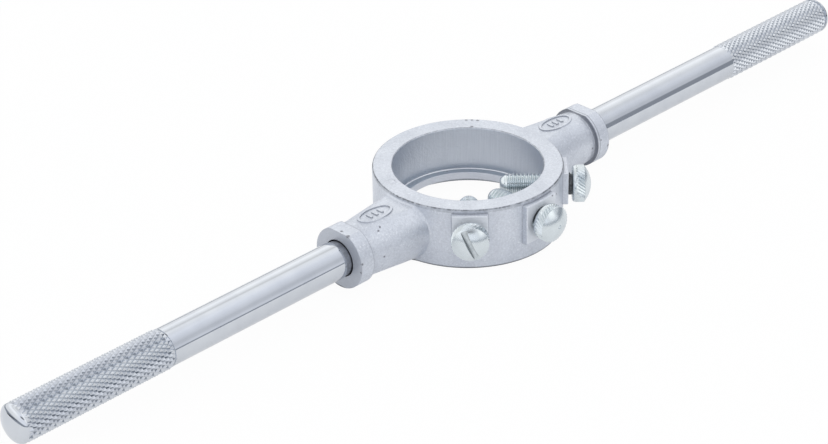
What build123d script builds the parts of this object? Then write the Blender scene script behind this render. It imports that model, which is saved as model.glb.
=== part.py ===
# Die stock: a cast ring holder with a stepped seat for a round threading die, three
# knurled clamp screws through the ring, and two bright rod handles screwed into its bosses.
# Origin: centre of the die seat, on the shoulder that the die lies on. +Z up, +X along the handles.
import os
from math import hypot
from build123d import *

os.makedirs("parts", exist_ok=True)

# Cast ring round the die
ring_r = 25.0
ring_base_z = -5.0
ring_top_z = 12.35
ring_top_round = 0.5
ring_base_round = 0.8

# Stepped seat for the die, the way through for the work, and the hollow under the shoulder
seat_r = 19.8
seat_mouth_bevel = 0.25
work_hole_r = 17.5
shoulder_t = 1.95
hollow_r = 22.2
hole_countersink = 0.4

# Tapered bosses with a collar on each outer end, on the handles' axis; each has a flat land on top
axis_z = 3.6
boss_root_r = 8.95
boss_end_r = 7.3
boss_root_x = ring_r
boss_l = 17.1
boss_land_drop = 1.2
boss_land_z = ring_top_z - boss_land_drop
collar_l = 4.6
collar_start_x = boss_root_x + boss_l
collar_end_x = collar_start_x + collar_l
collar_r = 8.25
collar_step = 0.2
collar_foot_round = 0.4
collar_round = 0.8
boss_root_blend = 0.65

# Flat pads under the screw heads; the middle one is the larger
side_pad_w = 9.3
side_pad_base_z = 2.2
middle_pad_w = 10.8
middle_pad_base_z = 0.3
pad_top_z = 11.2
pad_proud = 1.1
pad_face_r = ring_r + pad_proud
pad_depth = 4.0
pad_round = 0.3

# Raised plain oval on each boss
oval_half_l = 5.6
oval_half_w = 3.0
oval_offset = 0.4
oval_x = boss_root_x + boss_l / 2 + oval_offset
oval_rib = 0.7
oval_proud = 0.3
oval_bar_l = 2.0
oval_bar_w = 0.7
oval_bar_pitch = 1.9

# Handles: stud, neck in the collar's recess, rod, knurled grip and domed end
stud_r = 3.95
stud_fit = 0.05
stud_wall = 2.5
stud_inner_x = boss_root_x + stud_wall
stud_end_gap = 1.0
neck_r = 4.7
neck_gap = 0.3
neck_in = 3.0
neck_out = 1.8
neck_inner_x = collar_end_x - neck_in
neck_seat_gap = 0.3
rod_r = 4.95
rod_l = 56.2
rod_start_x = collar_end_x + neck_out
rod_bevel = 0.4
knurl_rise = 0.3
grip_r = rod_r + knurl_rise
grip_l = 43.6
grip_start_x = rod_start_x + rod_l
grip_end_x = grip_start_x + grip_l
grip_bevel = 0.35
handle_dome_l = 2.3
handle_end_x = grip_end_x + handle_dome_l

# Clamp screws: plain shank at the thread's outside size, knurled band, domed end
screw_z = 5.85
screw_r = 2.95
screw_fit = 0.05
screw_l = 18.9
tip_bevel = 0.8
head_r = 4.9
band_l = 3.25
band_bevel = 0.3
dome_l = 1.8
dome_shoulder = 0.75
slot_w = 1.6
slot_depth = 1.3
centre_dimple_r = 0.5

# Where each screw stands round the ring, and how far its head is backed off from its pad
left_screw_angle = -135
middle_screw_angle = -90
right_screw_angle = -45
left_head_gap = 1.75
middle_head_gap = 1.3
right_head_gap = 1.15
left_slot_turn = 24
right_slot_turn = -30


# Profile of a boss and its collar, drawn above the handles' axis and spun round it
def boss_and_collar():
    slope = (boss_root_r - boss_end_r) / (collar_start_x - boss_root_x)
    inner_x = ring_r / 2
    inner_r = boss_root_r + slope * (boss_root_x - inner_x)
    step_x = collar_start_x + collar_step
    with BuildSketch(Plane.XZ) as profile:
        with BuildLine():
            Polyline(
                (inner_x, 0),
                (inner_x, inner_r),
                (collar_start_x, boss_end_r),
                (step_x, collar_r),
                (collar_end_x, collar_r),
                (collar_end_x, 0),
                close=True,
            )
        make_face()
        corner = profile.vertices().sort_by(Axis.X)
        foot = [v for v in corner if abs(v.X - collar_start_x) < 0.01]
        lip = [v for v in corner if abs(v.X - step_x) < 0.01]
        rim = [v for v in corner if v.X > collar_end_x - 0.01 and v.Z > 0.01]
        fillet(foot, collar_foot_round)
        fillet(lip, collar_step / 2)
        fillet(rim, collar_round)
    boss = Pos(0, 0, axis_z) * revolve(profile.sketch, Axis.X)
    return boss & below_land(0)


# All the room below the boss's flat land, or up to a little proud of it
def below_land(proud):
    side = 4 * ring_r
    return Pos(collar_start_x, 0, boss_land_z + proud - side / 2) * Box(side, side, side)


# Raised oval with three short bars, standing a little proud of the boss's land
def boss_oval():
    slope = (boss_root_r - boss_end_r) / (collar_start_x - boss_root_x)
    near_x = oval_x - oval_half_l - oval_rib
    far_x = oval_x + oval_half_l + oval_rib
    near_r = boss_root_r + slope * (boss_root_x - near_x) + oval_proud
    far_r = boss_root_r + slope * (boss_root_x - far_x) + oval_proud
    skin = Polyline((near_x, 0), (near_x, near_r), (far_x, far_r), (far_x, 0), close=True)
    skin = revolve(Plane.XZ * make_face(skin), Axis.X)
    outline = Ellipse(oval_half_l, oval_half_w)
    outline -= Ellipse(oval_half_l - oval_rib, oval_half_w - oval_rib)
    for i in (-1, 0, 1):
        outline += Pos(i * oval_bar_pitch, 0) * Rectangle(oval_bar_w, oval_bar_l)
    stamp = Pos(oval_x, 0, 0) * extrude(outline, 2 * boss_root_r)
    return Pos(0, 0, axis_z) * (skin & stamp) & below_land(oval_proud)


# The ring stands tall at first, so that the bosses can be blended into it all round
right_boss = boss_and_collar()
tall_ring = Rot(0, 0, 90) * Cylinder(ring_r, 2 * ring_r)
body = tall_ring + right_boss + mirror(right_boss, Plane.YZ)
roots = [e for e in body.edges() if e.geom_type != GeomType.LINE and abs(e.center().Z) < ring_r / 2]
roots = [e for e in roots if all(abs(hypot((e @ t).X, (e @ t).Y) - ring_r) < 0.01 for t in (0, 0.5, 1))]
body = fillet(roots, boss_root_blend)
slab = Box(4 * collar_end_x, 4 * ring_r, ring_top_z - ring_base_z)
body = body & (Pos(0, 0, (ring_top_z + ring_base_z) / 2) * slab)
body = fillet(body.faces().sort_by(Axis.Z)[-1].edges(), ring_top_round)
body = fillet(body.faces().sort_by(Axis.Z)[0].edges(), ring_base_round)

# Flat pads that the screw heads stand over
def screw_pad(width, base_z):
    pad = Box(pad_depth, width, pad_top_z - base_z)
    pad = fillet(pad.faces().sort_by(Axis.X)[-1].edges(), pad_round)
    return Pos(pad_face_r - pad_depth / 2, 0, (pad_top_z + base_z) / 2) * pad


body += Rot(0, 0, left_screw_angle) * screw_pad(side_pad_w, side_pad_base_z)
body += Rot(0, 0, middle_screw_angle) * screw_pad(middle_pad_w, middle_pad_base_z)
body += Rot(0, 0, right_screw_angle) * screw_pad(side_pad_w, side_pad_base_z)

# Raised oval on each boss
right_oval = boss_oval()
body += right_oval
body += mirror(right_oval, Plane.YZ)

# Stepped die seat, open below through the work hole and the wider hollow in the base
seat_line = Polyline(
    (0, ring_base_z),
    (hollow_r, ring_base_z),
    (hollow_r, -shoulder_t),
    (work_hole_r, -shoulder_t),
    (work_hole_r, 0),
    (seat_r, 0),
    (seat_r, ring_top_z - seat_mouth_bevel),
    (seat_r + seat_mouth_bevel, ring_top_z),
    (0, ring_top_z),
    close=True,
)
body -= revolve(Plane.XZ * make_face(seat_line), Axis.Z)

# Tapped holes for the clamp screws, countersunk at the pads
screw_hole = Pos(ring_r, 0, screw_z) * Rot(0, 90, 0) * Cylinder(screw_r + screw_fit, ring_r)
sink = Cone(screw_r + screw_fit, screw_r + screw_fit + hole_countersink, hole_countersink)
sink = Pos(pad_face_r - hole_countersink / 2, 0, screw_z) * Rot(0, 90, 0) * sink
for angle in (left_screw_angle, middle_screw_angle, right_screw_angle):
    body -= Rot(0, 0, angle) * (screw_hole + sink)

# Recess and tapped blind hole for each handle
recess_floor_x = neck_inner_x - neck_seat_gap
stud_end_x = stud_inner_x - stud_end_gap
handle_line = Polyline(
    (stud_end_x, 0),
    (stud_end_x, stud_r + stud_fit),
    (recess_floor_x, stud_r + stud_fit),
    (recess_floor_x, neck_r + neck_gap),
    (collar_end_x + collar_round, neck_r + neck_gap),
    (collar_end_x + collar_round, 0),
    close=True,
)
handle_hole = Pos(0, 0, axis_z) * revolve(Plane.XZ * make_face(handle_line), Axis.X)
body -= handle_hole
body -= mirror(handle_hole, Plane.YZ)

# Handle: stud, neck, rod with a bevelled shoulder, knurled grip and a domed end
dome_r = grip_r - grip_bevel
quarter_turn = 90
with BuildSketch(Plane.XZ) as handle_profile:
    with BuildLine():
        Polyline(
            (handle_end_x, 0),
            (stud_inner_x, 0),
            (stud_inner_x, stud_r - rod_bevel),
            (stud_inner_x + rod_bevel, stud_r),
            (neck_inner_x, stud_r),
            (neck_inner_x, neck_r),
            (rod_start_x, neck_r),
            (rod_start_x + rod_bevel, rod_r),
            (grip_start_x, rod_r),
            (grip_start_x + grip_bevel, grip_r),
            (grip_end_x - grip_bevel, grip_r),
            (grip_end_x, dome_r),
        )
        EllipticalCenterArc((grip_end_x, 0), handle_dome_l, dome_r, arc_size=quarter_turn)
    make_face()
right_handle = Pos(0, 0, axis_z) * revolve(handle_profile.sketch, Axis.X)
left_handle = mirror(right_handle, Plane.YZ)


# Clamp screw along +X: bevelled tip, shank, knurled band and a domed end
def clamp_screw(head_gap):
    under_x = pad_face_r + head_gap
    tip_x = under_x - screw_l
    band_x = under_x + band_l
    end_x = band_x + dome_l
    with BuildSketch(Plane.XZ) as profile:
        with BuildLine():
            Polyline(
                (end_x, 0),
                (tip_x, 0),
                (tip_x, screw_r - tip_bevel),
                (tip_x + tip_bevel, screw_r),
                (under_x, screw_r),
                (under_x, head_r - band_bevel),
                (under_x + band_bevel, head_r),
                (band_x - band_bevel, head_r),
                (band_x, head_r - band_bevel),
            )
            ThreePointArc(
                (band_x, head_r - band_bevel),
                (band_x + dome_shoulder * dome_l, (head_r - band_bevel) / 2),
                (end_x, 0),
            )
        make_face()
    return revolve(profile.sketch, Axis.X)


# Screwdriver slot across the domed end, turned about the screw's axis
def slot(head_gap, turn):
    end_x = pad_face_r + head_gap + band_l + dome_l
    cut = Box(2 * slot_depth, slot_w, 3 * head_r)
    return Pos(end_x, 0, 0) * Rot(turn, 0, 0) * cut


# Turn a screw to its place round the ring
def placed(screw, angle):
    return Rot(0, 0, angle) * Pos(0, 0, screw_z) * screw


left_screw = clamp_screw(left_head_gap) - slot(left_head_gap, left_slot_turn)
right_screw = clamp_screw(right_head_gap) - slot(right_head_gap, right_slot_turn)
middle_end_x = pad_face_r + middle_head_gap + band_l + dome_l
middle_screw = clamp_screw(middle_head_gap) - Pos(middle_end_x, 0, 0) * Sphere(centre_dimple_r)

export_step(body, "parts/holder_body.step")
export_step(left_handle, "parts/left_handle.step")
export_step(right_handle, "parts/right_handle.step")
export_step(placed(left_screw, left_screw_angle), "parts/left_clamp_screw.step")
export_step(placed(middle_screw, middle_screw_angle), "parts/spreading_screw.step")
export_step(placed(right_screw, right_screw_angle), "parts/right_clamp_screw.step")
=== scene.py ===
import math
import bpy
from mathutils import Matrix, Vector


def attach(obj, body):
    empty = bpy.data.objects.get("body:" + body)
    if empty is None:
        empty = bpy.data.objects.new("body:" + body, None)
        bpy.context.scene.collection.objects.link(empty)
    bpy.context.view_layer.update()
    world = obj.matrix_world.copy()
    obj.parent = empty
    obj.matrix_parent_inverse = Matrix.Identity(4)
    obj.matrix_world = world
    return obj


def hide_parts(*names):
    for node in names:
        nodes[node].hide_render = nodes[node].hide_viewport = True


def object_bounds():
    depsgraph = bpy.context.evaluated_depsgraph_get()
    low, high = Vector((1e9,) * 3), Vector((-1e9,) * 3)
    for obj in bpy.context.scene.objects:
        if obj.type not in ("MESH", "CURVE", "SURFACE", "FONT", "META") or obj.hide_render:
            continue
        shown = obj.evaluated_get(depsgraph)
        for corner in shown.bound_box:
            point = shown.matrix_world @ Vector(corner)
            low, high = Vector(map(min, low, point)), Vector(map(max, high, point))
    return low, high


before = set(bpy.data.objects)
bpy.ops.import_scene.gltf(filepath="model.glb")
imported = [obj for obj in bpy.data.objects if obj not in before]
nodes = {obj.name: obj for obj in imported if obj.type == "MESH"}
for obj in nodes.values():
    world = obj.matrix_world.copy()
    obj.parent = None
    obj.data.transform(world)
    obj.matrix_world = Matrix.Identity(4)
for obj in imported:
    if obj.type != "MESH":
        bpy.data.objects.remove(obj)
cad_low, cad_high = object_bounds()
mm = 0.001


# Camera, paper floor and light: the die stock lies on white paper in a white tent, seen from its
# front left. The tent is brightest behind, with a dark gap low at the front right and a slit for
# the camera. Where the paper ends, the polished parts reflect a darker room.
camera_azimuth = math.radians(-44.6064)
camera_elevation = math.radians(29.7963)
camera_roll = math.radians(-1.0016)
camera_distance = 668.05 * mm
camera_to_right = -14.30 * mm
camera_upward = -18.65 * mm
focal_px = 2568.7
photo_width_px = 828
sensor_w = 36.0
aim_height = 16.39 * mm

turn = Matrix.Rotation(camera_azimuth, 4, "Z") @ Matrix.Rotation(math.pi / 2 - camera_elevation, 4, "X")
away = turn @ Vector((camera_to_right, camera_upward, camera_distance))
bpy.ops.object.select_all(action="DESELECT")
bpy.ops.object.camera_add(location=away + Vector((0, 0, aim_height)))
camera = bpy.context.active_object
camera.name = "photo_camera"
camera.rotation_euler = (turn @ Matrix.Rotation(camera_roll, 4, "Z")).to_euler()
camera.data.sensor_width = sensor_w
camera.data.lens = focal_px * sensor_w / photo_width_px
camera.data.clip_end = 20
bpy.context.scene.camera = camera
bpy.context.scene.view_settings.view_transform = "Standard"

floor_size = 8.0
floor_height = cad_low[2] - 0.02 * mm
paper_white = (0.90, 0.90, 0.905, 1)
glow_seen = 0.96
glow_reflected = 0.46
paper_front_y = -0.125
paper_back_y = 0.16
paper_left_x = -0.215
paper_right_x = 0.26
dark_corner_low_y = 0.055
dark_corner_high_y = 0.11
room_grey = (0.34, 0.37, 0.42, 1)
room_black = (0.02, 0.02, 0.025, 1)

bpy.ops.mesh.primitive_plane_add(size=floor_size, location=(0, 0, floor_height))
floor = bpy.context.active_object
floor.name = "paper_floor"
bpy.ops.object.transform_apply(location=True, rotation=True, scale=True)


def combined(tree, operation, *values):
    node = tree.nodes.new("ShaderNodeMath")
    node.operation = operation
    for socket, value in zip(node.inputs, values):
        if isinstance(value, (int, float)):
            socket.default_value = value
        else:
            tree.links.new(value, socket)
    return node.outputs[0]


def blended(tree, factor, first, second, blend="MIX"):
    node = tree.nodes.new("ShaderNodeMixRGB")
    node.blend_type = blend
    for socket, value in zip(node.inputs, (factor, first, second)):
        if isinstance(value, (float, tuple)):
            socket.default_value = value
        else:
            tree.links.new(value, socket)
    return node.outputs[0]


paper = bpy.data.materials.new("white_paper")
paper.use_nodes = True
tree = paper.node_tree
tree.nodes.clear()
output = tree.nodes.new("ShaderNodeOutputMaterial")
mix = tree.nodes.new("ShaderNodeMixShader")
matt = tree.nodes.new("ShaderNodeBsdfDiffuse")
matt.inputs["Color"].default_value = paper_white
glow = tree.nodes.new("ShaderNodeEmission")
glow.inputs["Color"].default_value = (1, 1, 1, 1)
path = tree.nodes.new("ShaderNodeLightPath")
share = combined(tree, "MAXIMUM", path.outputs["Is Glossy Ray"], path.outputs["Is Transmission Ray"])
share = combined(tree, "MULTIPLY", share, glow_reflected)
share = combined(tree, "MULTIPLY_ADD", path.outputs["Is Camera Ray"], glow_seen, share)
tree.links.new(share, mix.inputs[0])
tree.links.new(matt.outputs[0], mix.inputs[1])
tree.links.new(glow.outputs[0], mix.inputs[2])
spot = tree.nodes.new("ShaderNodeSeparateXYZ")
tree.links.new(tree.nodes.new("ShaderNodeTexCoord").outputs["Object"], spot.inputs[0])
past_left = combined(tree, "LESS_THAN", spot.outputs["X"], paper_left_x)
past_right = combined(tree, "GREATER_THAN", spot.outputs["X"], paper_right_x)
past_back = combined(tree, "GREATER_THAN", spot.outputs["Y"], paper_back_y)
past_front = combined(tree, "LESS_THAN", spot.outputs["Y"], paper_front_y)
past_edge = combined(tree, "MAXIMUM", past_front, past_back)
past_edge = combined(tree, "MAXIMUM", past_edge, combined(tree, "MAXIMUM", past_left, past_right))
unlit = combined(tree, "MULTIPLY", past_edge, path.outputs["Is Glossy Ray"])
in_corner = combined(tree, "GREATER_THAN", spot.outputs["Y"], dark_corner_low_y)
dark_corner = combined(tree, "MULTIPLY", past_left, in_corner)
in_corner = combined(tree, "LESS_THAN", spot.outputs["Y"], dark_corner_high_y)
dark_corner = combined(tree, "MULTIPLY", dark_corner, in_corner)
dark_room = tree.nodes.new("ShaderNodeEmission")
tree.links.new(blended(tree, dark_corner, room_grey, room_black), dark_room.inputs["Color"])
ended = tree.nodes.new("ShaderNodeMixShader")
tree.links.new(unlit, ended.inputs[0])
tree.links.new(mix.outputs[0], ended.inputs[1])
tree.links.new(dark_room.outputs[0], ended.inputs[2])
tree.links.new(ended.outputs[0], output.inputs["Surface"])
floor.data.materials.append(paper)

tent = bpy.data.worlds.new("white_tent")
bpy.context.scene.world = tent
tent.use_nodes = True
tree = tent.node_tree
tree.nodes.clear()
output = tree.nodes.new("ShaderNodeOutputWorld")
where = tree.nodes.new("ShaderNodeTexCoord")
axes = tree.nodes.new("ShaderNodeSeparateXYZ")
tree.links.new(where.outputs["Generated"], axes.inputs[0])


def ramped(tree, socket, stops):
    ramp = tree.nodes.new("ShaderNodeValToRGB")
    while len(ramp.color_ramp.elements) < len(stops):
        ramp.color_ramp.elements.new(0.5)
    for element, (place, grey) in zip(ramp.color_ramp.elements, stops):
        element.position = place
        element.color = (grey, grey, grey, 1)
    tree.links.new(socket, ramp.inputs[0])
    return ramp.outputs[0]


tent_strength = 2.0
front_greys = [(0.0, 0.44), (0.13, 0.436), (0.30, 0.365), (0.446, 0.362), (0.58, 0.425)]
front_greys += [(0.686, 0.462), (0.777, 0.505), (0.834, 0.545), (0.90, 0.45), (1.0, 0.42)]
back_greys = [(0.0, 0.50), (0.10, 0.51), (0.25, 0.53), (0.36, 0.59), (0.47, 0.665), (0.55, 0.64)]
back_greys += [(0.61, 0.60), (0.67, 0.55), (0.70, 0.53), (0.725, 0.46), (0.76, 0.43), (0.79, 0.56)]
back_greys += [(0.83, 0.60), (0.90, 0.45), (1.0, 0.42)]
left_grey = 0.52
left_fade = [(0.0, 0.0), (0.2, 1.0)]
back_fade = [(0.35, 0.0), (0.65, 1.0)]
front_half = [(0.0, 1.0), (0.001, 0.0)]
front_tint = (0.98, 1.0, 1.06, 1)
window_across = [(0.43, 0.0), (0.50, 1.0), (0.70, 1.0), (0.76, 0.0)]
window_upward = [(0.10, 0.0), (0.35, 1.0), (0.9, 1.0), (1.0, 0.0)]
window_frontward = [(0.0, 0.0), (0.3, 1.0)]
window_grey = (0.66, 0.66, 0.66, 1)
low_gap_upward = [(0.0, 1.0), (0.02, 1.0), (0.035, 0.0)]
tall_gap_upward = [(0.0, 1.0), (0.26, 1.0), (0.31, 0.0)]
tall_gap_across = [(0.60, 0.0), (0.66, 1.0)]
gap_grey = (0.17, 0.18, 0.20, 1)
slit_middle = Vector((-0.52, -0.58, 0.63)).normalized()
slit_along = slit_middle.cross(Vector((0, 0, 1))).normalized()
slit_up = slit_along.cross(slit_middle)
slit_thinness = 7.5
slit_shortness = 5.0
slit_fade = [(0.0, 1.0), (0.75, 1.0), (1.0, 0.0)]
slit_grey = (0.06, 0.062, 0.066, 1)

front = ramped(tree, axes.outputs["Z"], front_greys)
to_left = combined(tree, "MULTIPLY", axes.outputs["X"], -1.0)
to_left = ramped(tree, to_left, left_fade)
front = combined(tree, "MAXIMUM", front, combined(tree, "MULTIPLY", to_left, left_grey))
back = ramped(tree, axes.outputs["Z"], back_greys)
behind = combined(tree, "MULTIPLY_ADD", axes.outputs["Y"], 0.5, 0.5)
behind = ramped(tree, behind, back_fade)
in_front = ramped(tree, axes.outputs["Y"], front_half)
gap = combined(tree, "MULTIPLY", ramped(tree, axes.outputs["Z"], tall_gap_upward), in_front)
gap = combined(tree, "MULTIPLY", gap, ramped(tree, axes.outputs["X"], tall_gap_across))
gap = combined(tree, "MAXIMUM", gap, ramped(tree, axes.outputs["Z"], low_gap_upward))
across = combined(tree, "MULTIPLY_ADD", axes.outputs["X"], 0.5, 0.5)
window = ramped(tree, across, window_across)
window = combined(tree, "MULTIPLY", window, ramped(tree, axes.outputs["Z"], window_upward))
frontward = combined(tree, "MULTIPLY", axes.outputs["Y"], -1.0)
frontward = ramped(tree, frontward, window_frontward)
window = combined(tree, "MULTIPLY", window, frontward)
slit = []
for direction in (slit_middle, slit_along, slit_up):
    toward = tree.nodes.new("ShaderNodeVectorMath")
    toward.operation = "DOT_PRODUCT"
    toward.inputs[1].default_value = direction
    tree.links.new(where.outputs["Generated"], toward.inputs[0])
    slit.append(toward.outputs["Value"])
lens = combined(tree, "MULTIPLY", combined(tree, "ABSOLUTE", slit[2]), slit_thinness)
sideways = combined(tree, "MULTIPLY", slit[1], slit[1])
lens = combined(tree, "MULTIPLY_ADD", sideways, slit_shortness, lens)
opening = ramped(tree, lens, slit_fade)
opening = combined(tree, "MULTIPLY", opening, combined(tree, "GREATER_THAN", slit[0], 0.0))

light = blended(tree, 1.0, front, front_tint, "MULTIPLY")
light = blended(tree, behind, light, back)
light = blended(tree, window, light, window_grey)
light = blended(tree, gap, light, gap_grey)
light = blended(tree, opening, light, slit_grey)
tent_light = tree.nodes.new("ShaderNodeBackground")
tree.links.new(light, tent_light.inputs["Color"])
tent_light.inputs["Strength"].default_value = tent_strength
plain_white = tree.nodes.new("ShaderNodeBackground")
plain_white.inputs["Color"].default_value = (1, 1, 1, 1)
path = tree.nodes.new("ShaderNodeLightPath")
mix = tree.nodes.new("ShaderNodeMixShader")
tree.links.new(path.outputs["Is Camera Ray"], mix.inputs[0])
tree.links.new(tent_light.outputs[0], mix.inputs[1])
tree.links.new(plain_white.outputs[0], mix.inputs[2])
tree.links.new(mix.outputs[0], output.inputs["Surface"])


# Holder: ring, two bosses and three pads in one casting.
# Sprayed with thin silver lacquer over the cast skin, which leaves a faint orange peel, small pits
# and chipped edges. The die's seat is turned on a lathe, the pads and the bosses' ends are faced.
lacquer_light = (0.695, 0.732, 0.795, 1)
lacquer_dull = (0.640, 0.676, 0.740, 1)
fleck_light = (0.86, 0.89, 0.94, 1)
pad_painted_light = (0.80, 0.83, 0.87, 1)
turned_light = (0.66, 0.70, 0.765, 1)
turned_dull = (0.61, 0.65, 0.715, 1)
faced_end = (0.49, 0.52, 0.575, 1)
pit_grey = (0.24, 0.25, 0.28, 1)
mottle_and_shade_grey = (0.20, 0.215, 0.25, 1)
painted_shadow_grey = (0.07, 0.08, 0.095, 1)
foot_painted_highlight = (0.97, 0.98, 1.0, 1)
seat_shade_grey = (0.42, 0.47, 0.53, 1)
hole_painted_light = (0.74, 0.77, 0.83, 1)
seat_r = 19.8 * mm
ring_top_z = 12.35 * mm
collar_seam_x = 42.2 * mm
collar_line_x = 43.15 * mm
pad_face_r = 26.1 * mm
pad_angles = (-135, -90, -45)
screw_hole_z = 5.85 * mm
outer_rim_r = 24.85 * mm
inner_rim_r = 19.95 * mm
seat_wall_off = (0.08 * mm, 0.20 * mm)
inside_seat_r = (19.84 * mm, 19.88 * mm)
foot_line_r = (19.36 * mm, 19.46 * mm)
hole_wall_r = (17.55 * mm, 17.65 * mm)
shoulder_z = (0.10 * mm, 0.16 * mm)
foot_shade_z = (1.6 * mm, 3.2 * mm)
base_edge_z = (-4.55 * mm, -4.2 * mm)
outside_r = (23.0 * mm, 23.5 * mm)
end_face_x = (46.60 * mm, 46.72 * mm)
on_pad_off = (0.04 * mm, 0.08 * mm)
pad_reach = (8.0 * mm, 8.2 * mm)
shank_shadow_r = (3.2 * mm, 3.7 * mm)
outer_rim_off = (0.06 * mm, 0.19 * mm)
inner_rim_off = (0.05 * mm, 0.16 * mm)
rim_z = (11.2 * mm, 11.5 * mm)
far_seam_off = (0.26 * mm, 0.46 * mm)
collar_line_off = (0.08 * mm, 0.20 * mm)
mark_groove_off = (0.05 * mm, 0.30 * mm)
land_inner_x = (26.3 * mm, 27.0 * mm)
land_outer_x = (40.6 * mm, 41.4 * mm)
land_z = (7.5 * mm, 9.0 * mm)
rim_breakup_size = 1.6 * mm
noise_spread = (0.35, 0.65)
mottle_spread = (0.35, 0.70)
fleck_spread = (0.60, 0.70)
pit_spread = (0.76, 0.80)
rim_breakup_spread = (0.40, 0.60)
streak_stretch = 0.03
foot_shade_ragged = 2.4 * mm
seam_ragged = 0.15 * mm
end_ragged = 0.12 * mm
skin_metallic = 0.6
seat_metallic = 0.92
pad_metallic_drop = 0.55
clear_of_oval = (0.95, 1.2)
soft_edge_r = 0.25 * mm
soft_land_r = 1.7 * mm
oval_x = 33.95 * mm
oval_half_l = 6.2 * mm
oval_half_w = 3.6 * mm
peel_size = 0.8 * mm
mottle_size = 0.6 * mm
fleck_size = 0.5 * mm
grit_size = 0.3 * mm
cloud_size = 7 * mm
pit_size = 2.6 * mm
streak_size = 0.28 * mm
round_mark = (-20.69 * mm, 7.38 * mm, ring_top_z)
round_mark_r = 1.15 * mm
chip_ragged = 1.2
chip_inner = 1.1
chip_outer = 1.7
chips = (
    (-36.5, -4.4, 10.1, 0.34),
    (-37.5, -4.9, 9.6, 0.34),
    (-38.3, -7.6, 3.5, 0.30),
    (40.9, -7.4, 3.4, 0.30),
    (43.6, -8.1, 5.2, 0.28),
    (46.5, -8.0, 2.6, 0.50),
    (-45.9, -0.3, 11.2, 0.45),
    (-46.4, -3.2, 11.0, 0.55),
    (-46.4, -8.0, 4.9, 0.40),
    (-46.7, -7.8, 2.5, 0.35),
    (17.2, 17.1, 12.35, 0.45),
    (18.2, 16.0, 12.35, 0.40),
    (19.1, 14.7, 12.35, 0.45),
    (15.5, 13.4, 12.2, 0.50),
    (15.3, -12.7, 12.2, 0.30),
    (4.1, -26.1, 10.9, 0.26),
    (8.5, -23.5, 8.7, 0.26),
    (9.1, 16.6, 0.0, 0.22),
)

holder = nodes["holder_body"]


def noise(tree, vector, size, detail, roughness=0.5):
    node = tree.nodes.new("ShaderNodeTexNoise")
    if isinstance(size, float):
        node.inputs["Scale"].default_value = 1 / size
    else:
        tree.links.new(size, node.inputs["Scale"])
    node.inputs["Detail"].default_value = detail
    node.inputs["Roughness"].default_value = roughness
    tree.links.new(vector, node.inputs["Vector"])
    return node.outputs["Fac"]


def ranged(tree, value, *limits):
    node = tree.nodes.new("ShaderNodeMapRange")
    for name, number in zip(("From Min", "From Max", "To Min", "To Max"), limits):
        if isinstance(number, (int, float)):
            node.inputs[name].default_value = number
        else:
            tree.links.new(number, node.inputs[name])
    tree.links.new(value, node.inputs["Value"])
    return node.outputs["Result"]


def bumped(tree, height, distance, strength):
    node = tree.nodes.new("ShaderNodeBump")
    node.inputs["Distance"].default_value = distance
    node.inputs["Strength"].default_value = strength
    tree.links.new(height, node.inputs["Height"])
    return node.outputs["Normal"]


def distance_from(tree, place, point):
    node = tree.nodes.new("ShaderNodeVectorMath")
    node.operation = "DISTANCE"
    node.inputs[1].default_value = point
    tree.links.new(place, node.inputs[0])
    return node.outputs["Value"]


# Painted shade: an ambient-occlusion mask that darkens the colour in corners, creases and grooves.
shaded_corners_ao = bpy.data.node_groups.new("shaded_corners_ao", "ShaderNodeTree")
for name in ("Reach", "Dark Below", "Unshaded Above", "Depth"):
    shaded_corners_ao.interface.new_socket(name=name, in_out="INPUT", socket_type="NodeSocketFloat")
shaded_corners_ao.interface.new_socket(name="Shade", in_out="OUTPUT", socket_type="NodeSocketFloat")
given = shaded_corners_ao.nodes.new("NodeGroupInput").outputs
result = shaded_corners_ao.nodes.new("NodeGroupOutput").inputs
openness = shaded_corners_ao.nodes.new("ShaderNodeAmbientOcclusion")
openness.samples = 12
shaded_corners_ao.links.new(given["Reach"], openness.inputs["Distance"])
crease_shade = ranged(
    shaded_corners_ao, openness.outputs["AO"], given["Dark Below"], given["Unshaded Above"], given["Depth"], 0
)
shaded_corners_ao.links.new(crease_shade, result["Shade"])


def dark_corners(tree, reach, dark_below, unshaded_above, depth):
    node = tree.nodes.new("ShaderNodeGroup")
    node.node_tree = shaded_corners_ao
    for socket, number in zip(node.inputs, (reach, dark_below, unshaded_above, depth)):
        socket.default_value = number
    return node.outputs["Shade"]


uneven_finish = bpy.data.node_groups.new("uneven_finish", "ShaderNodeTree")
for name, kind in (
    ("Place", "NodeSocketVector"),
    ("Clouds", "NodeSocketFloat"),
    ("Grit", "NodeSocketFloat"),
    ("Light", "NodeSocketColor"),
    ("Dull", "NodeSocketColor"),
    ("Smooth", "NodeSocketFloat"),
    ("Rough", "NodeSocketFloat"),
):
    uneven_finish.interface.new_socket(name=name, in_out="INPUT", socket_type=kind)
for name, kind in (
    ("Color", "NodeSocketColor"),
    ("Roughness", "NodeSocketFloat"),
    ("Height", "NodeSocketFloat"),
):
    uneven_finish.interface.new_socket(name=name, in_out="OUTPUT", socket_type=kind)
given = uneven_finish.nodes.new("NodeGroupInput").outputs
result = uneven_finish.nodes.new("NodeGroupOutput").inputs
clouds = noise(uneven_finish, given["Place"], given["Clouds"], detail=3)
patches = ranged(uneven_finish, clouds, *noise_spread, 0, 1)
uneven_finish.links.new(blended(uneven_finish, patches, given["Light"], given["Dull"]), result["Color"])
grit = noise(uneven_finish, given["Place"], given["Grit"], detail=2)
half_clouds = combined(uneven_finish, "MULTIPLY", clouds, 0.5)
both = combined(uneven_finish, "MULTIPLY_ADD", grit, 0.5, half_clouds)
uneven_finish.links.new(
    ranged(uneven_finish, both, *noise_spread, given["Smooth"], given["Rough"]), result["Roughness"]
)
uneven_finish.links.new(grit, result["Height"])


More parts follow.
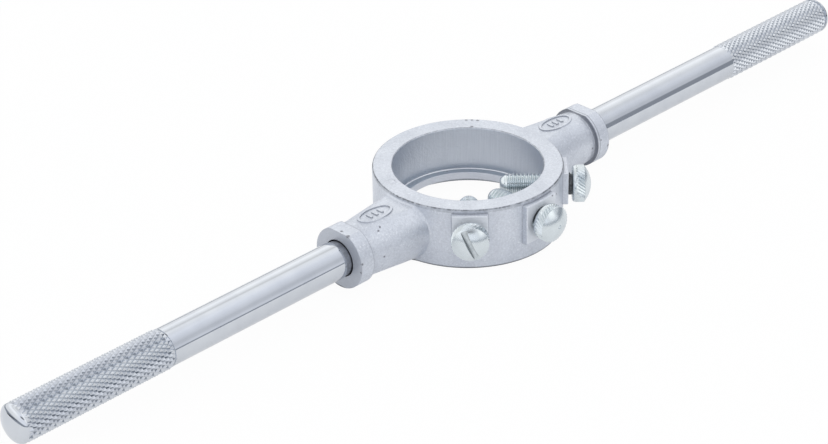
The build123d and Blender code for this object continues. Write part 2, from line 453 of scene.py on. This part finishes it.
def finished(tree, place, clouds, grit, light, dull, smooth, rough):
    node = tree.nodes.new("ShaderNodeGroup")
    node.node_tree = uneven_finish
    tree.links.new(place, node.inputs["Place"])
    node.inputs["Clouds"].default_value = 1 / clouds
    node.inputs["Grit"].default_value = 1 / grit
    node.inputs["Light"].default_value = light
    node.inputs["Dull"].default_value = dull
    node.inputs["Smooth"].default_value = smooth
    node.inputs["Rough"].default_value = rough
    return node.outputs


lacquer = bpy.data.materials.new("silver_lacquer_on_casting")
lacquer.use_nodes = True
tree = lacquer.node_tree
bsdf = tree.nodes["Principled BSDF"]
place = tree.nodes.new("ShaderNodeTexCoord").outputs["Object"]
skin = finished(tree, place, cloud_size, grit_size, lacquer_light, lacquer_dull, smooth=0.34, rough=0.44)
flattened = tree.nodes.new("ShaderNodeMapping")
flattened.inputs["Scale"].default_value = (1, 1, 0)
tree.links.new(place, flattened.inputs["Vector"])
from_axis = distance_from(tree, flattened.outputs["Vector"], (0, 0, 0))
along = tree.nodes.new("ShaderNodeSeparateXYZ")
tree.links.new(place, along.inputs[0])
off_wall = combined(tree, "ABSOLUTE", combined(tree, "SUBTRACT", from_axis, seat_r))
in_seat = ranged(tree, off_wall, *seat_wall_off, 1, 0)
metal_share = ranged(tree, in_seat, 0, 1, skin_metallic, seat_metallic)
stretched = tree.nodes.new("ShaderNodeMapping")
stretched.inputs["Scale"].default_value = (1, 1, streak_stretch)
tree.links.new(place, stretched.inputs["Vector"])
streaks = noise(tree, stretched.outputs["Vector"], streak_size, detail=3, roughness=0.6)
turned_skin = blended(tree, ranged(tree, streaks, *noise_spread, 0, 1), turned_light, turned_dull)
mottle = noise(tree, place, mottle_size, detail=3, roughness=0.7)
mottle = ranged(tree, mottle, *mottle_spread, 0, 0.22)
mottled = blended(tree, mottle, skin["Color"], mottle_and_shade_grey)
flecks = ranged(tree, noise(tree, place, fleck_size, detail=2), *fleck_spread, 0, 0.5)
mottled = blended(tree, flecks, mottled, fleck_light)
tone = blended(tree, in_seat, mottled, turned_skin)
above = along.outputs["Z"]
# Painted shade: the seat wall darkens towards its foot in ragged streaks.
foot_shade = combined(tree, "MULTIPLY_ADD", streaks, foot_shade_ragged, above)
foot_shade = ranged(tree, foot_shade, *foot_shade_z, 0.5, 0)
foot_shade = combined(tree, "MULTIPLY", in_seat, foot_shade)
tone = blended(tree, foot_shade, tone, seat_shade_grey)
# Painted shade: the ledge at the seat's foot is painted dark.
inside_seat = ranged(tree, from_axis, *inside_seat_r, 1, 0)
past_hole = ranged(tree, from_axis, *hole_wall_r, 0, 1)
low_down = ranged(tree, above, *shoulder_z, 1, 0)
on_shoulder = combined(tree, "MULTIPLY", combined(tree, "MULTIPLY", inside_seat, past_hole), low_down)
tone = blended(tree, on_shoulder, tone, seat_shade_grey)
# Painted light: the through hole's wall is painted light, as lit from below through the hole.
on_hole = combined(tree, "MULTIPLY", ranged(tree, past_hole, 0, 1, 1, 0), low_down)
tone = blended(tree, on_hole, tone, hole_painted_light)
# Painted highlight: a thin bright line on the ledge at the foot of the seat wall.
foot_highlight_mask = ranged(tree, from_axis, *foot_line_r, 0, 1)
foot_highlight_mask = combined(tree, "MULTIPLY", combined(tree, "MULTIPLY", foot_highlight_mask, inside_seat), low_down)

ragged = noise(tree, place, grit_size, detail=2)
chipped = None
for x, y, z, r in chips:
    off_chip = distance_from(tree, place, (x * mm, y * mm, z * mm))
    off_chip = combined(tree, "MULTIPLY_ADD", ragged, chip_ragged * r * mm, off_chip)
    chip = ranged(tree, off_chip, chip_inner * r * mm, chip_outer * r * mm, 1, 0)
    chipped = chip if chipped is None else combined(tree, "MAXIMUM", chipped, chip)
pits = noise(tree, place, pit_size, detail=4, roughness=0.8)
pits = ranged(tree, pits, *pit_spread, 0, 0.6)
pits = combined(tree, "MAXIMUM", pits, chipped)

outward = combined(tree, "ABSOLUTE", along.outputs["X"])
# Painted shade: a ragged dark line along each collar's step and a fainter one at its edge line, stronger
# on the far side.
off_seam = combined(tree, "ABSOLUTE", combined(tree, "SUBTRACT", outward, collar_seam_x))
off_seam = combined(tree, "MULTIPLY_ADD", ragged, seam_ragged, off_seam)
far_side = ranged(tree, along.outputs["X"], -1 * mm, 1 * mm, 0, 1)
collar_step_shade = ranged(tree, off_seam, *far_seam_off, 1, 0)
collar_step_shade = combined(tree, "MULTIPLY", collar_step_shade, ranged(tree, far_side, 0, 1, 0.3, 0.95))
off_line = combined(tree, "ABSOLUTE", combined(tree, "SUBTRACT", outward, collar_line_x))
collar_line = ranged(tree, off_line, *collar_line_off, 0.6, 0)
collar_step_shade = combined(tree, "MAXIMUM", collar_step_shade, combined(tree, "MULTIPLY", collar_line, far_side))
# Painted shadow: a dark band along the base's outer edge where it meets the floor.
base_contact_shadow = ranged(tree, above, *base_edge_z, 0.9, 0)
outside = ranged(tree, from_axis, *outside_r, 0, 1)
base_contact_shadow = combined(tree, "MULTIPLY", base_contact_shadow, outside)
on_end = combined(tree, "MULTIPLY_ADD", ragged, end_ragged, outward)
on_end = ranged(tree, on_end, *end_face_x, 0, 0.85)
tone = blended(tree, on_end, tone, faced_end)
for angle in pad_angles:
    ahead = (math.cos(math.radians(angle)), math.sin(math.radians(angle)), 0)
    out_by = tree.nodes.new("ShaderNodeVectorMath")
    out_by.operation = "DOT_PRODUCT"
    out_by.inputs[1].default_value = ahead
    tree.links.new(place, out_by.inputs[0])
    centre = (pad_face_r * ahead[0], pad_face_r * ahead[1], screw_hole_z)
    from_screw = distance_from(tree, place, centre)
    off_face = combined(tree, "SUBTRACT", out_by.outputs["Value"], pad_face_r)
    on_pad = ranged(tree, combined(tree, "ABSOLUTE", off_face), *on_pad_off, 1, 0)
    on_pad = combined(tree, "MULTIPLY", on_pad, ranged(tree, from_screw, *pad_reach, 0.8, 0))
    metal_drop = combined(tree, "MULTIPLY", on_pad, pad_metallic_drop)
    metal_share = combined(tree, "SUBTRACT", metal_share, metal_drop)
    # Painted light: the pad faces are lightened to lift the shade that the heads cast around them.
    tone = blended(tree, on_pad, tone, pad_painted_light)
    # Painted shadow: a dark disc on each pad face round the shank, under the screw's head.
    under_head = ranged(tree, from_screw, *shank_shadow_r, 0.9, 0)
    under_head = combined(tree, "MULTIPLY", on_pad, under_head)
    tone = blended(tree, under_head, tone, painted_shadow_grey)
tree.links.new(metal_share, bsdf.inputs["Metallic"])
# Painted shade in the corners and creases by ambient occlusion, and along the collar steps.
corners = dark_corners(tree, 0.65 * mm, dark_below=0.50, unshaded_above=0.80, depth=0.8)
tone = blended(tree, combined(tree, "MAXIMUM", corners, collar_step_shade), tone, mottle_and_shade_grey)
# Painted shade: a dark line along the ring's outer and inner top rims, where the rounded edges turn from
# the light, broken up by noise.
rim_breakup = noise(tree, place, rim_breakup_size, detail=3, roughness=0.7)
rim_breakup = ranged(tree, rim_breakup, *rim_breakup_spread, 0.40, 0.90)
rim_out = combined(tree, "ABSOLUTE", combined(tree, "SUBTRACT", from_axis, outer_rim_r))
rim_out = ranged(tree, rim_out, *outer_rim_off, 1, 0)
rim_in = combined(tree, "ABSOLUTE", combined(tree, "SUBTRACT", from_axis, inner_rim_r))
rim_in = ranged(tree, rim_in, *inner_rim_off, 0.55, 0)
rim_shade = combined(tree, "MULTIPLY", combined(tree, "MAXIMUM", rim_out, rim_in), rim_breakup)
rim_shade = combined(tree, "MULTIPLY", rim_shade, ranged(tree, above, *rim_z, 0, 1))
tone = blended(tree, combined(tree, "MAXIMUM", rim_shade, base_contact_shadow), tone, painted_shadow_grey)
tone = blended(tree, foot_highlight_mask, tone, foot_painted_highlight)
tree.links.new(blended(tree, pits, tone, pit_grey), bsdf.inputs["Base Color"])
tree.links.new(skin["Roughness"], bsdf.inputs["Roughness"])

from_mark = distance_from(tree, place, round_mark)
off_ring = combined(tree, "ABSOLUTE", combined(tree, "SUBTRACT", from_mark, round_mark_r))
ring_groove = ranged(tree, off_ring, *mark_groove_off, 1.4, 0)
peel = noise(tree, place, peel_size, detail=2)
relief = combined(tree, "MULTIPLY_ADD", skin["Height"], 0.6, peel)
relief = combined(tree, "MULTIPLY_ADD", streaks, combined(tree, "MULTIPLY", in_seat, 0.3), relief)
relief = combined(tree, "SUBTRACT", relief, combined(tree, "MULTIPLY", pits, 1.2))
relief = combined(tree, "SUBTRACT", relief, ring_groove)
on_boss = ranged(tree, outward, *land_inner_x, 0, 1)
on_boss = combined(tree, "MULTIPLY", on_boss, ranged(tree, outward, *land_outer_x, 1, 0))
on_boss = combined(tree, "MULTIPLY", on_boss, ranged(tree, above, *land_z, 0, 1))
oval_along = combined(tree, "DIVIDE", combined(tree, "SUBTRACT", outward, oval_x), oval_half_l)
oval_across = combined(tree, "DIVIDE", along.outputs["Y"], oval_half_w)
oval_along = combined(tree, "MULTIPLY", oval_along, oval_along)
from_oval = combined(tree, "MULTIPLY_ADD", oval_across, oval_across, oval_along)
on_land = combined(tree, "MULTIPLY", on_boss, ranged(tree, from_oval, *clear_of_oval, 0, 1))
softened = tree.nodes.new("ShaderNodeBevel")
softened.samples = 8
soft_r = ranged(tree, on_land, 0, 1, soft_edge_r, soft_land_r)
tree.links.new(soft_r, softened.inputs["Radius"])
relief = bumped(tree, relief, 0.09 * mm, strength=1.0)
tree.links.new(softened.outputs["Normal"], relief.node.inputs["Normal"])
tree.links.new(relief, bsdf.inputs["Normal"])
for slot in holder.material_slots:
    slot.material = lacquer


# Handles: two steel bars, turned to a neck and a threaded stud that screws into the boss.
# The outer third is rolled to a diamond knurl, the end is domed, and all is bright chrome plated.
axis_z = 3.6 * mm
stud_r = 3.95 * mm
stud_bevel = 0.8 * mm
stud_inner_x = 27.5 * mm
stud_pitch = 1.25 * mm
stud_turns = 12
stud_cut_r = stud_r + 0.05 * mm
stud_root_r = 3.3 * mm
neck_r = 4.7 * mm
neck_inner_x = 43.7 * mm
rod_r = 4.95 * mm
rod_start_x = 48.5 * mm
crest_r = 5.25 * mm
groove_r = 4.72 * mm
crest_flat = 0.11 * mm
dome_r = 5.12 * mm
dome_point = 1.05
grip_start_x = 104.7 * mm
grip_end_x = 148.3 * mm
dome_start_x = 148.42 * mm
handle_end_x = 150.6 * mm
diamonds_round = 26
knurl_rows = 39
dome_steps = 14
thread_steps = 40
close_by = 0.01 * mm
merged_within = 0.002 * mm

chrome_light = (0.645, 0.675, 0.715, 1)
chrome_dull = (0.605, 0.635, 0.68, 1)
knurl_groove_shade = (0.10, 0.11, 0.125, 1)
neck_light = (0.42, 0.44, 0.47, 1)
neck_dull = (0.26, 0.27, 0.30, 1)


def drawn_line(name, points):
    bpy.ops.object.select_all(action="DESELECT")
    bpy.ops.mesh.primitive_plane_add(size=mm)
    line = bpy.context.active_object
    line.name = name
    bpy.ops.object.mode_set(mode="EDIT")
    bpy.ops.mesh.merge(type="CENTER")
    bpy.ops.transform.translate(value=(points[0][0], 0, points[0][1]))
    for (x0, z0), (x1, z1) in zip(points, points[1:]):
        bpy.ops.mesh.extrude_region_move(TRANSFORM_OT_translate={"value": (x1 - x0, 0, z1 - z0)})
    bpy.ops.object.mode_set(mode="OBJECT")
    return line


def turned(name, points, steps):
    piece = drawn_line(name, points)
    bpy.ops.object.mode_set(mode="EDIT")
    bpy.ops.mesh.select_all(action="SELECT")
    bpy.ops.mesh.spin(steps=steps, angle=2 * math.pi, center=(0, 0, 0), axis=(1, 0, 0))
    bpy.ops.mesh.select_all(action="SELECT")
    bpy.ops.mesh.remove_doubles(threshold=merged_within)
    bpy.ops.mesh.normals_make_consistent(inside=False)
    bpy.ops.object.mode_set(mode="OBJECT")
    return piece


def pick_points(piece, wanted):
    bpy.ops.object.mode_set(mode="EDIT")
    bpy.ops.mesh.select_mode(type="VERT")
    bpy.ops.mesh.select_all(action="DESELECT")
    bpy.ops.object.mode_set(mode="OBJECT")
    for point in piece.data.vertices:
        point.select = wanted(point.co)
    bpy.ops.object.mode_set(mode="EDIT")


def cut_away(piece, cutter):
    bpy.ops.object.select_all(action="DESELECT")
    bpy.context.view_layer.objects.active = piece
    piece.select_set(True)
    cut = piece.modifiers.new("cut", "BOOLEAN")
    cut.operation = "DIFFERENCE"
    cut.solver = "EXACT"
    cut.object = cutter
    bpy.ops.object.modifier_apply(modifier=cut.name)
    bpy.data.objects.remove(cutter)


def cut_thread(piece, start_x, turns, pitch, root_r, outer_r):
    root_half = pitch / 10
    mouth_half = root_half + (outer_r - root_r) * math.tan(math.radians(30))
    points = [(-mouth_half, outer_r), (-root_half, root_r), (root_half, root_r), (mouth_half, outer_r)]
    tool = drawn_line("thread_tool", [(start_x + x, z) for x, z in points])
    bpy.ops.object.mode_set(mode="EDIT")
    bpy.ops.mesh.select_all(action="SELECT")
    bpy.ops.mesh.edge_face_add()
    bpy.ops.object.mode_set(mode="OBJECT")
    helix = tool.modifiers.new("helix", "SCREW")
    helix.axis = "X"
    helix.angle = 2 * math.pi
    helix.screw_offset = pitch
    helix.iterations = turns
    helix.steps = thread_steps
    helix.render_steps = thread_steps
    bpy.ops.object.modifier_apply(modifier=helix.name)
    bpy.ops.object.mode_set(mode="EDIT")
    bpy.ops.mesh.select_all(action="SELECT")
    bpy.ops.mesh.remove_doubles(threshold=merged_within)
    bpy.ops.mesh.fill_holes(sides=4)
    bpy.ops.mesh.normals_make_consistent(inside=False)
    bpy.ops.object.mode_set(mode="OBJECT")
    cut_away(piece, tool)


def set_in_place(piece, height, angle, sharp=25):
    bpy.ops.object.select_all(action="DESELECT")
    bpy.context.view_layer.objects.active = piece
    piece.select_set(True)
    piece.location = (0, 0, height)
    piece.rotation_euler = (0, 0, math.radians(angle))
    bpy.ops.object.transform_apply(location=True, rotation=True, scale=True)
    bpy.ops.object.shade_smooth_by_angle(angle=math.radians(sharp))


row_l = (grip_end_x - grip_start_x) / knurl_rows
knurl_line = [(grip_start_x + row_l * i, groove_r) for i in range(knurl_rows + 1)]
dome_line = []
for i in range(dome_steps + 1):
    swing = math.pi / 2 * i / dome_steps
    dome_x = dome_start_x + (handle_end_x - dome_start_x) * math.sin(swing) ** dome_point
    dome_line.append((dome_x, dome_r * math.cos(swing) ** dome_point))
dome_line[-1] = (handle_end_x, 0)
handle_line = [
    (stud_inner_x, 0),
    (stud_inner_x, stud_r - stud_bevel),
    (stud_inner_x + stud_bevel, stud_r),
    (neck_inner_x, stud_r),
    (neck_inner_x, neck_r - 0.2 * mm),
    (neck_inner_x + 0.2 * mm, neck_r),
    (rod_start_x, neck_r),
    (rod_start_x, neck_r + 0.02 * mm),
    (rod_start_x + 0.15 * mm, rod_r),
    (rod_start_x + 20 * mm, rod_r),
    (grip_start_x - 1.5 * mm, rod_r),
    (grip_start_x - 0.10 * mm, rod_r),
]
right_handle = turned("right_handle_bar", handle_line + knurl_line + dome_line, 2 * diamonds_round)


def is_crest(point):
    row = round((point.x - grip_start_x) / row_l)
    column = round(math.atan2(point.y, point.z) / math.pi * diamonds_round)
    in_grip = 0 < row < knurl_rows and abs(point.x - grip_start_x - row * row_l) < close_by
    return in_grip and (row + column) % 2 == 1


pick_points(right_handle, is_crest)
bpy.ops.transform.resize(value=(1, crest_r / groove_r, crest_r / groove_r), center_override=(0, 0, 0))
pick_points(right_handle, lambda p: grip_start_x - close_by < p.x < grip_end_x + close_by)
bpy.ops.mesh.quads_convert_to_tris(quad_method="SHORTEST_DIAGONAL")
pick_points(right_handle, is_crest)
bpy.ops.mesh.bevel(offset=crest_flat, affect="VERTICES", segments=1)
bpy.ops.object.mode_set(mode="OBJECT")
cut_thread(right_handle, stud_inner_x - stud_pitch, stud_turns, stud_pitch, stud_root_r, stud_cut_r)


def surface_finish(name, tones, clouds, grit, roughness, relief, crease_shade=None, metallic=1.0):
    material = bpy.data.materials.new(name)
    material.use_nodes = True
    tree = material.node_tree
    bsdf = tree.nodes["Principled BSDF"]
    bsdf.inputs["Metallic"].default_value = metallic
    place = tree.nodes.new("ShaderNodeTexCoord").outputs["Object"]
    surface = finished(tree, place, clouds, grit, *tones, *roughness)
    tone = surface["Color"]
    # Optional painted shade: the tone darkens towards a shade colour where ambient occlusion finds
    # corners.
    if crease_shade:
        shade_colour, *limits = crease_shade
        tone = blended(tree, dark_corners(tree, *limits), tone, shade_colour)
    tree.links.new(tone, bsdf.inputs["Base Color"])
    tree.links.new(surface["Roughness"], bsdf.inputs["Roughness"])
    tree.links.new(bumped(tree, surface["Height"], *relief), bsdf.inputs["Normal"])
    return material


# Painted shade: ambient occlusion darkens the chrome in the knurl's grooves.
chrome = surface_finish(
    "bright_chrome",
    (chrome_light, chrome_dull),
    clouds=6 * mm,
    grit=0.4 * mm,
    roughness=(0.04, 0.11),
    relief=(0.001 * mm, 0.6),
    crease_shade=(knurl_groove_shade, 0.5 * mm, 0.40, 0.80, 0.5),
)
# Painted shade: the neck and stud get a darker, duller steel, standing in for the shade inside the
# collar's hole.
shaded_neck_steel = surface_finish(
    "neck_steel_painted_shade",
    (neck_light, neck_dull),
    clouds=2.5 * mm,
    grit=0.2 * mm,
    roughness=(0.25, 0.5),
    relief=(0.01 * mm, 0.6),
)
right_handle.data.materials.append(chrome)
right_handle.data.materials.append(shaded_neck_steel)
for face in right_handle.data.polygons:
    face.material_index = 1 if face.center.x < rod_start_x - close_by else 0

left_handle = right_handle.copy()
left_handle.data = right_handle.data.copy()
left_handle.name = "left_handle_bar"
bpy.context.collection.objects.link(left_handle)
for handle, side, angle in ((right_handle, "right", 0), (left_handle, "left", 180)):
    set_in_place(handle, axis_z, angle)
    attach(handle, side + "_handle_body")
    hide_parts(side + "_handle")


# Clamp screws: three zinc-plated steel thumb screws with a knurled head and a domed top.
# The two outer ones close the die and have a milled driver slot; the middle one spreads it and has
# a centre dimple. A band of each shank in the gap under its head is painted near-black as painted
# shadow.
screw_z = 5.85 * mm
screw_r = 2.95 * mm
screw_root_r = 2.36 * mm
screw_l = 18.9 * mm
screw_pitch = 1.0 * mm
screw_turns = 19
screw_cut_r = screw_r + 0.04 * mm
pad_face_x = 26.1 * mm
head_r = 4.9 * mm
collar_l = 0.95 * mm
band_l = 3.2 * mm
dome_l = 1.79 * mm
dome_edge_r = 4.72 * mm
tooth_depth = 0.30 * mm
teeth = 34
band_rows = 4
band_twist = -18
cap_steps = 8
slot_w = 1.6 * mm
slot_depth = 1.5 * mm
steepest_dome = 0.45
flattest_dome = 0.9993
dimple_r = 0.5 * mm
dome_foot = 0.03 * mm
gap_shadow_start = -1.1 * mm
gap_shadow_end = -0.5 * mm

zinc_light = (0.72, 0.775, 0.80, 1)
zinc_dull = (0.665, 0.72, 0.745, 1)
zinc_root_shade = (0.12, 0.13, 0.135, 1)
slot_light = (0.66, 0.71, 0.735, 1)
slot_dull = (0.58, 0.63, 0.655, 1)
gap_shadow_light = (0.16, 0.17, 0.18, 1)
gap_shadow_dull = (0.05, 0.055, 0.06, 1)

tip_x = -screw_l
screw_line = [
    (tip_x, 0),
    (tip_x, 1.3 * mm),
    (tip_x + 0.12 * mm, 1.6 * mm),
    (tip_x + 0.5 * mm, 2.0 * mm),
    (tip_x + 1.1 * mm, 2.38 * mm),
    (tip_x + 1.9 * mm, 2.72 * mm),
    (tip_x + 2.7 * mm, screw_r),
    (-0.15 * mm, screw_r),
    (0, screw_r + 0.15 * mm),
    (0, head_r - 0.7 * mm),
    (0.12 * mm, head_r - 0.36 * mm),
    (0.40 * mm, head_r - 0.10 * mm),
    (collar_l - 0.1 * mm, head_r - 0.02 * mm),
]
row_l = (band_l - collar_l) / band_rows
band_line = [(collar_l + row_l * i, head_r) for i in range(band_rows + 1)]
end_x = band_l + dome_foot + dome_l
cap_r = (dome_edge_r ** 2 + dome_l ** 2) / (2 * dome_l)
cap_swing = math.asin(dome_edge_r / cap_r)
cap_line = []
for i in range(cap_steps + 1):
    swing = cap_swing * (1 - i / cap_steps)
    cap_line.append((end_x - cap_r * (1 - math.cos(swing)), cap_r * math.sin(swing)))
cap_line[-1] = (end_x, 0)
screw = turned("screw_blank", screw_line + band_line + cap_line, 2 * teeth)


def is_groove(point):
    row = round((point.x - collar_l) / row_l)
    column = round(math.atan2(point.y, point.z) / math.pi * teeth)
    in_band = 0 < row <= band_rows and abs(point.x - collar_l - row * row_l) < close_by
    return in_band and column % 2 == 1


pick_points(screw, is_groove)
shrink = (head_r - tooth_depth) / head_r
bpy.ops.transform.resize(value=(1, shrink, shrink), center_override=(0, 0, 0))
for row in range(1, band_rows + 1):
    pick_points(screw, lambda p: p.x > collar_l + (row - 0.5) * row_l)
    bpy.ops.transform.rotate(
        value=math.radians(band_twist / band_rows), orient_axis="X", center_override=(0, 0, 0)
    )
bpy.ops.object.mode_set(mode="OBJECT")
cut_thread(screw, tip_x - screw_pitch, screw_turns, screw_pitch, screw_root_r, screw_cut_r)

# Painted shade: ambient occlusion darkens the zinc in the thread roots and the head's grooves.
zinc = surface_finish(
    "bright_zinc",
    (zinc_light, zinc_dull),
    clouds=3.5 * mm,
    grit=0.4 * mm,
    roughness=(0.20, 0.28),
    relief=(0.003 * mm, 0.5),
    crease_shade=(zinc_root_shade, 0.5 * mm, 0.25, 0.60, 0.5),
)
# Painted shade: the slot's faces get a darker zinc, with heavy ambient-occlusion shade along its walls
# and floor.
slot_shaded = surface_finish(
    "slot_painted_shade",
    (slot_light, slot_dull),
    clouds=1.0 * mm,
    grit=0.15 * mm,
    roughness=(0.30, 0.45),
    relief=(0.008 * mm, 0.6),
    crease_shade=(zinc_root_shade, 0.9 * mm, 0.35, 0.92, 0.9),
)
gap_shadow = surface_finish(
    "painted_shadow_under_head",
    (gap_shadow_light, gap_shadow_dull),
    clouds=1.0 * mm,
    grit=0.2 * mm,
    roughness=(0.55, 0.75),
    relief=(0.01 * mm, 0.6),
    metallic=0.0,
)
for finish in (zinc, slot_shaded, gap_shadow):
    screw.data.materials.append(finish)

screws = (
    ("left_clamp_screw", "left_screw_body", -135, 1.75, 24),
    ("spreading_screw", "middle_screw_body", -90, 1.3, None),
    ("right_clamp_screw", "right_screw_body", -45, 1.15, -30),
)
for node, body, angle, head_gap, slot_turn in screws:
    piece = screw.copy()
    piece.data = screw.data.copy()
    piece.name = node + "_turned"
    bpy.context.collection.objects.link(piece)
    if slot_turn is None:
        bpy.ops.object.select_all(action="DESELECT")
        bpy.ops.mesh.primitive_uv_sphere_add(
            segments=16, ring_count=8, radius=dimple_r, location=(end_x, 0, 0)
        )
        cut_away(piece, bpy.context.active_object)
    else:
        bpy.ops.object.select_all(action="DESELECT")
        bpy.ops.mesh.primitive_cube_add(
            size=1, location=(end_x, 0, 0), rotation=(math.radians(slot_turn), 0, 0)
        )
        blade = bpy.context.active_object
        blade.scale = (2 * slot_depth, slot_w, 3 * head_r)
        bpy.context.view_layer.update()
        cut_away(piece, blade)
        for face in piece.data.polygons:
            middle = face.center
            in_cap = middle.x > band_l + 0.1 * mm and middle.yz.length < dome_edge_r - 0.1 * mm
            on_dome = steepest_dome < face.normal.x < flattest_dome
            face.material_index = 1 if in_cap and not on_dome else 0
    # Painted shadow: a band of the shank in the gap under the head gets a near-black finish.
    for face in piece.data.polygons:
        if gap_shadow_start < face.center.x < gap_shadow_end:
            face.material_index = 2
    piece.data.transform(Matrix.Translation((pad_face_x + head_gap * mm, 0, 0)))
    set_in_place(piece, screw_z, angle)
    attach(piece, body)
    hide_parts(node)
bpy.data.objects.remove(screw)
